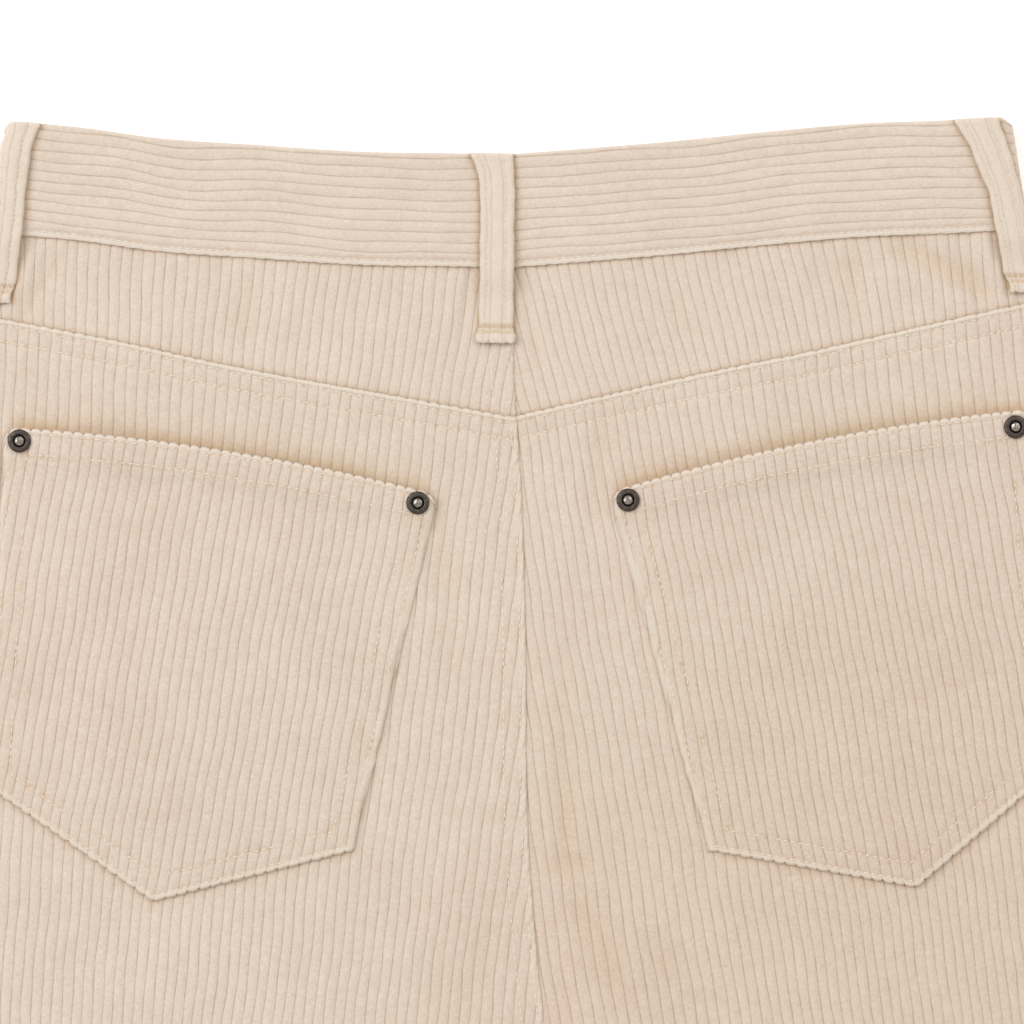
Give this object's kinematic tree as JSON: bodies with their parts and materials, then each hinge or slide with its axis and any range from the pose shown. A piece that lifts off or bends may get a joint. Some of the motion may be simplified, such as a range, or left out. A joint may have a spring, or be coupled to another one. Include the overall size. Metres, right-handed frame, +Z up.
{
  "type": "corduroy trousers laid flat",
  "caption": "Wide-wale corduroy trousers lying flat with the back up: yoke, patch back pockets with riveted corners, belt loops and straight legs",
  "frame": {"origin": "on the surface that the trousers lie on, under the middle of their box", "axes": "+Z up, out of the back; +Y from the hems to the waist; +X from the wearer's left to the wearer's right"},
  "size_m": [0.6034, 1.0802, 0.0117],
  "materials": {
    "corduroy": "brushed cotton pile",
    "thread": "twisted cotton",
    "rivet": "antique gunmetal",
    "button": "antique gunmetal"
  },
  "bodies": {
    "root": {"back_left": "corduroy", "back_right": "corduroy", "front_left": "corduroy", "front_right": "corduroy", "yoke_left": "corduroy", "yoke_right": "corduroy", "waistband_left": "corduroy", "waistband_right": "corduroy", "pocket_left": "corduroy", "pocket_right": "corduroy", "loop_centre": "corduroy", "loop_left": "corduroy", "loop_right": "corduroy", "loop_front_left": "corduroy", "loop_front_right": "corduroy", "fly": "corduroy", "rivet_left_outer": "rivet", "rivet_left_inner": "rivet", "rivet_right_inner": "rivet", "rivet_right_outer": "rivet", "button": "button"}
  },
  "joints": []
}
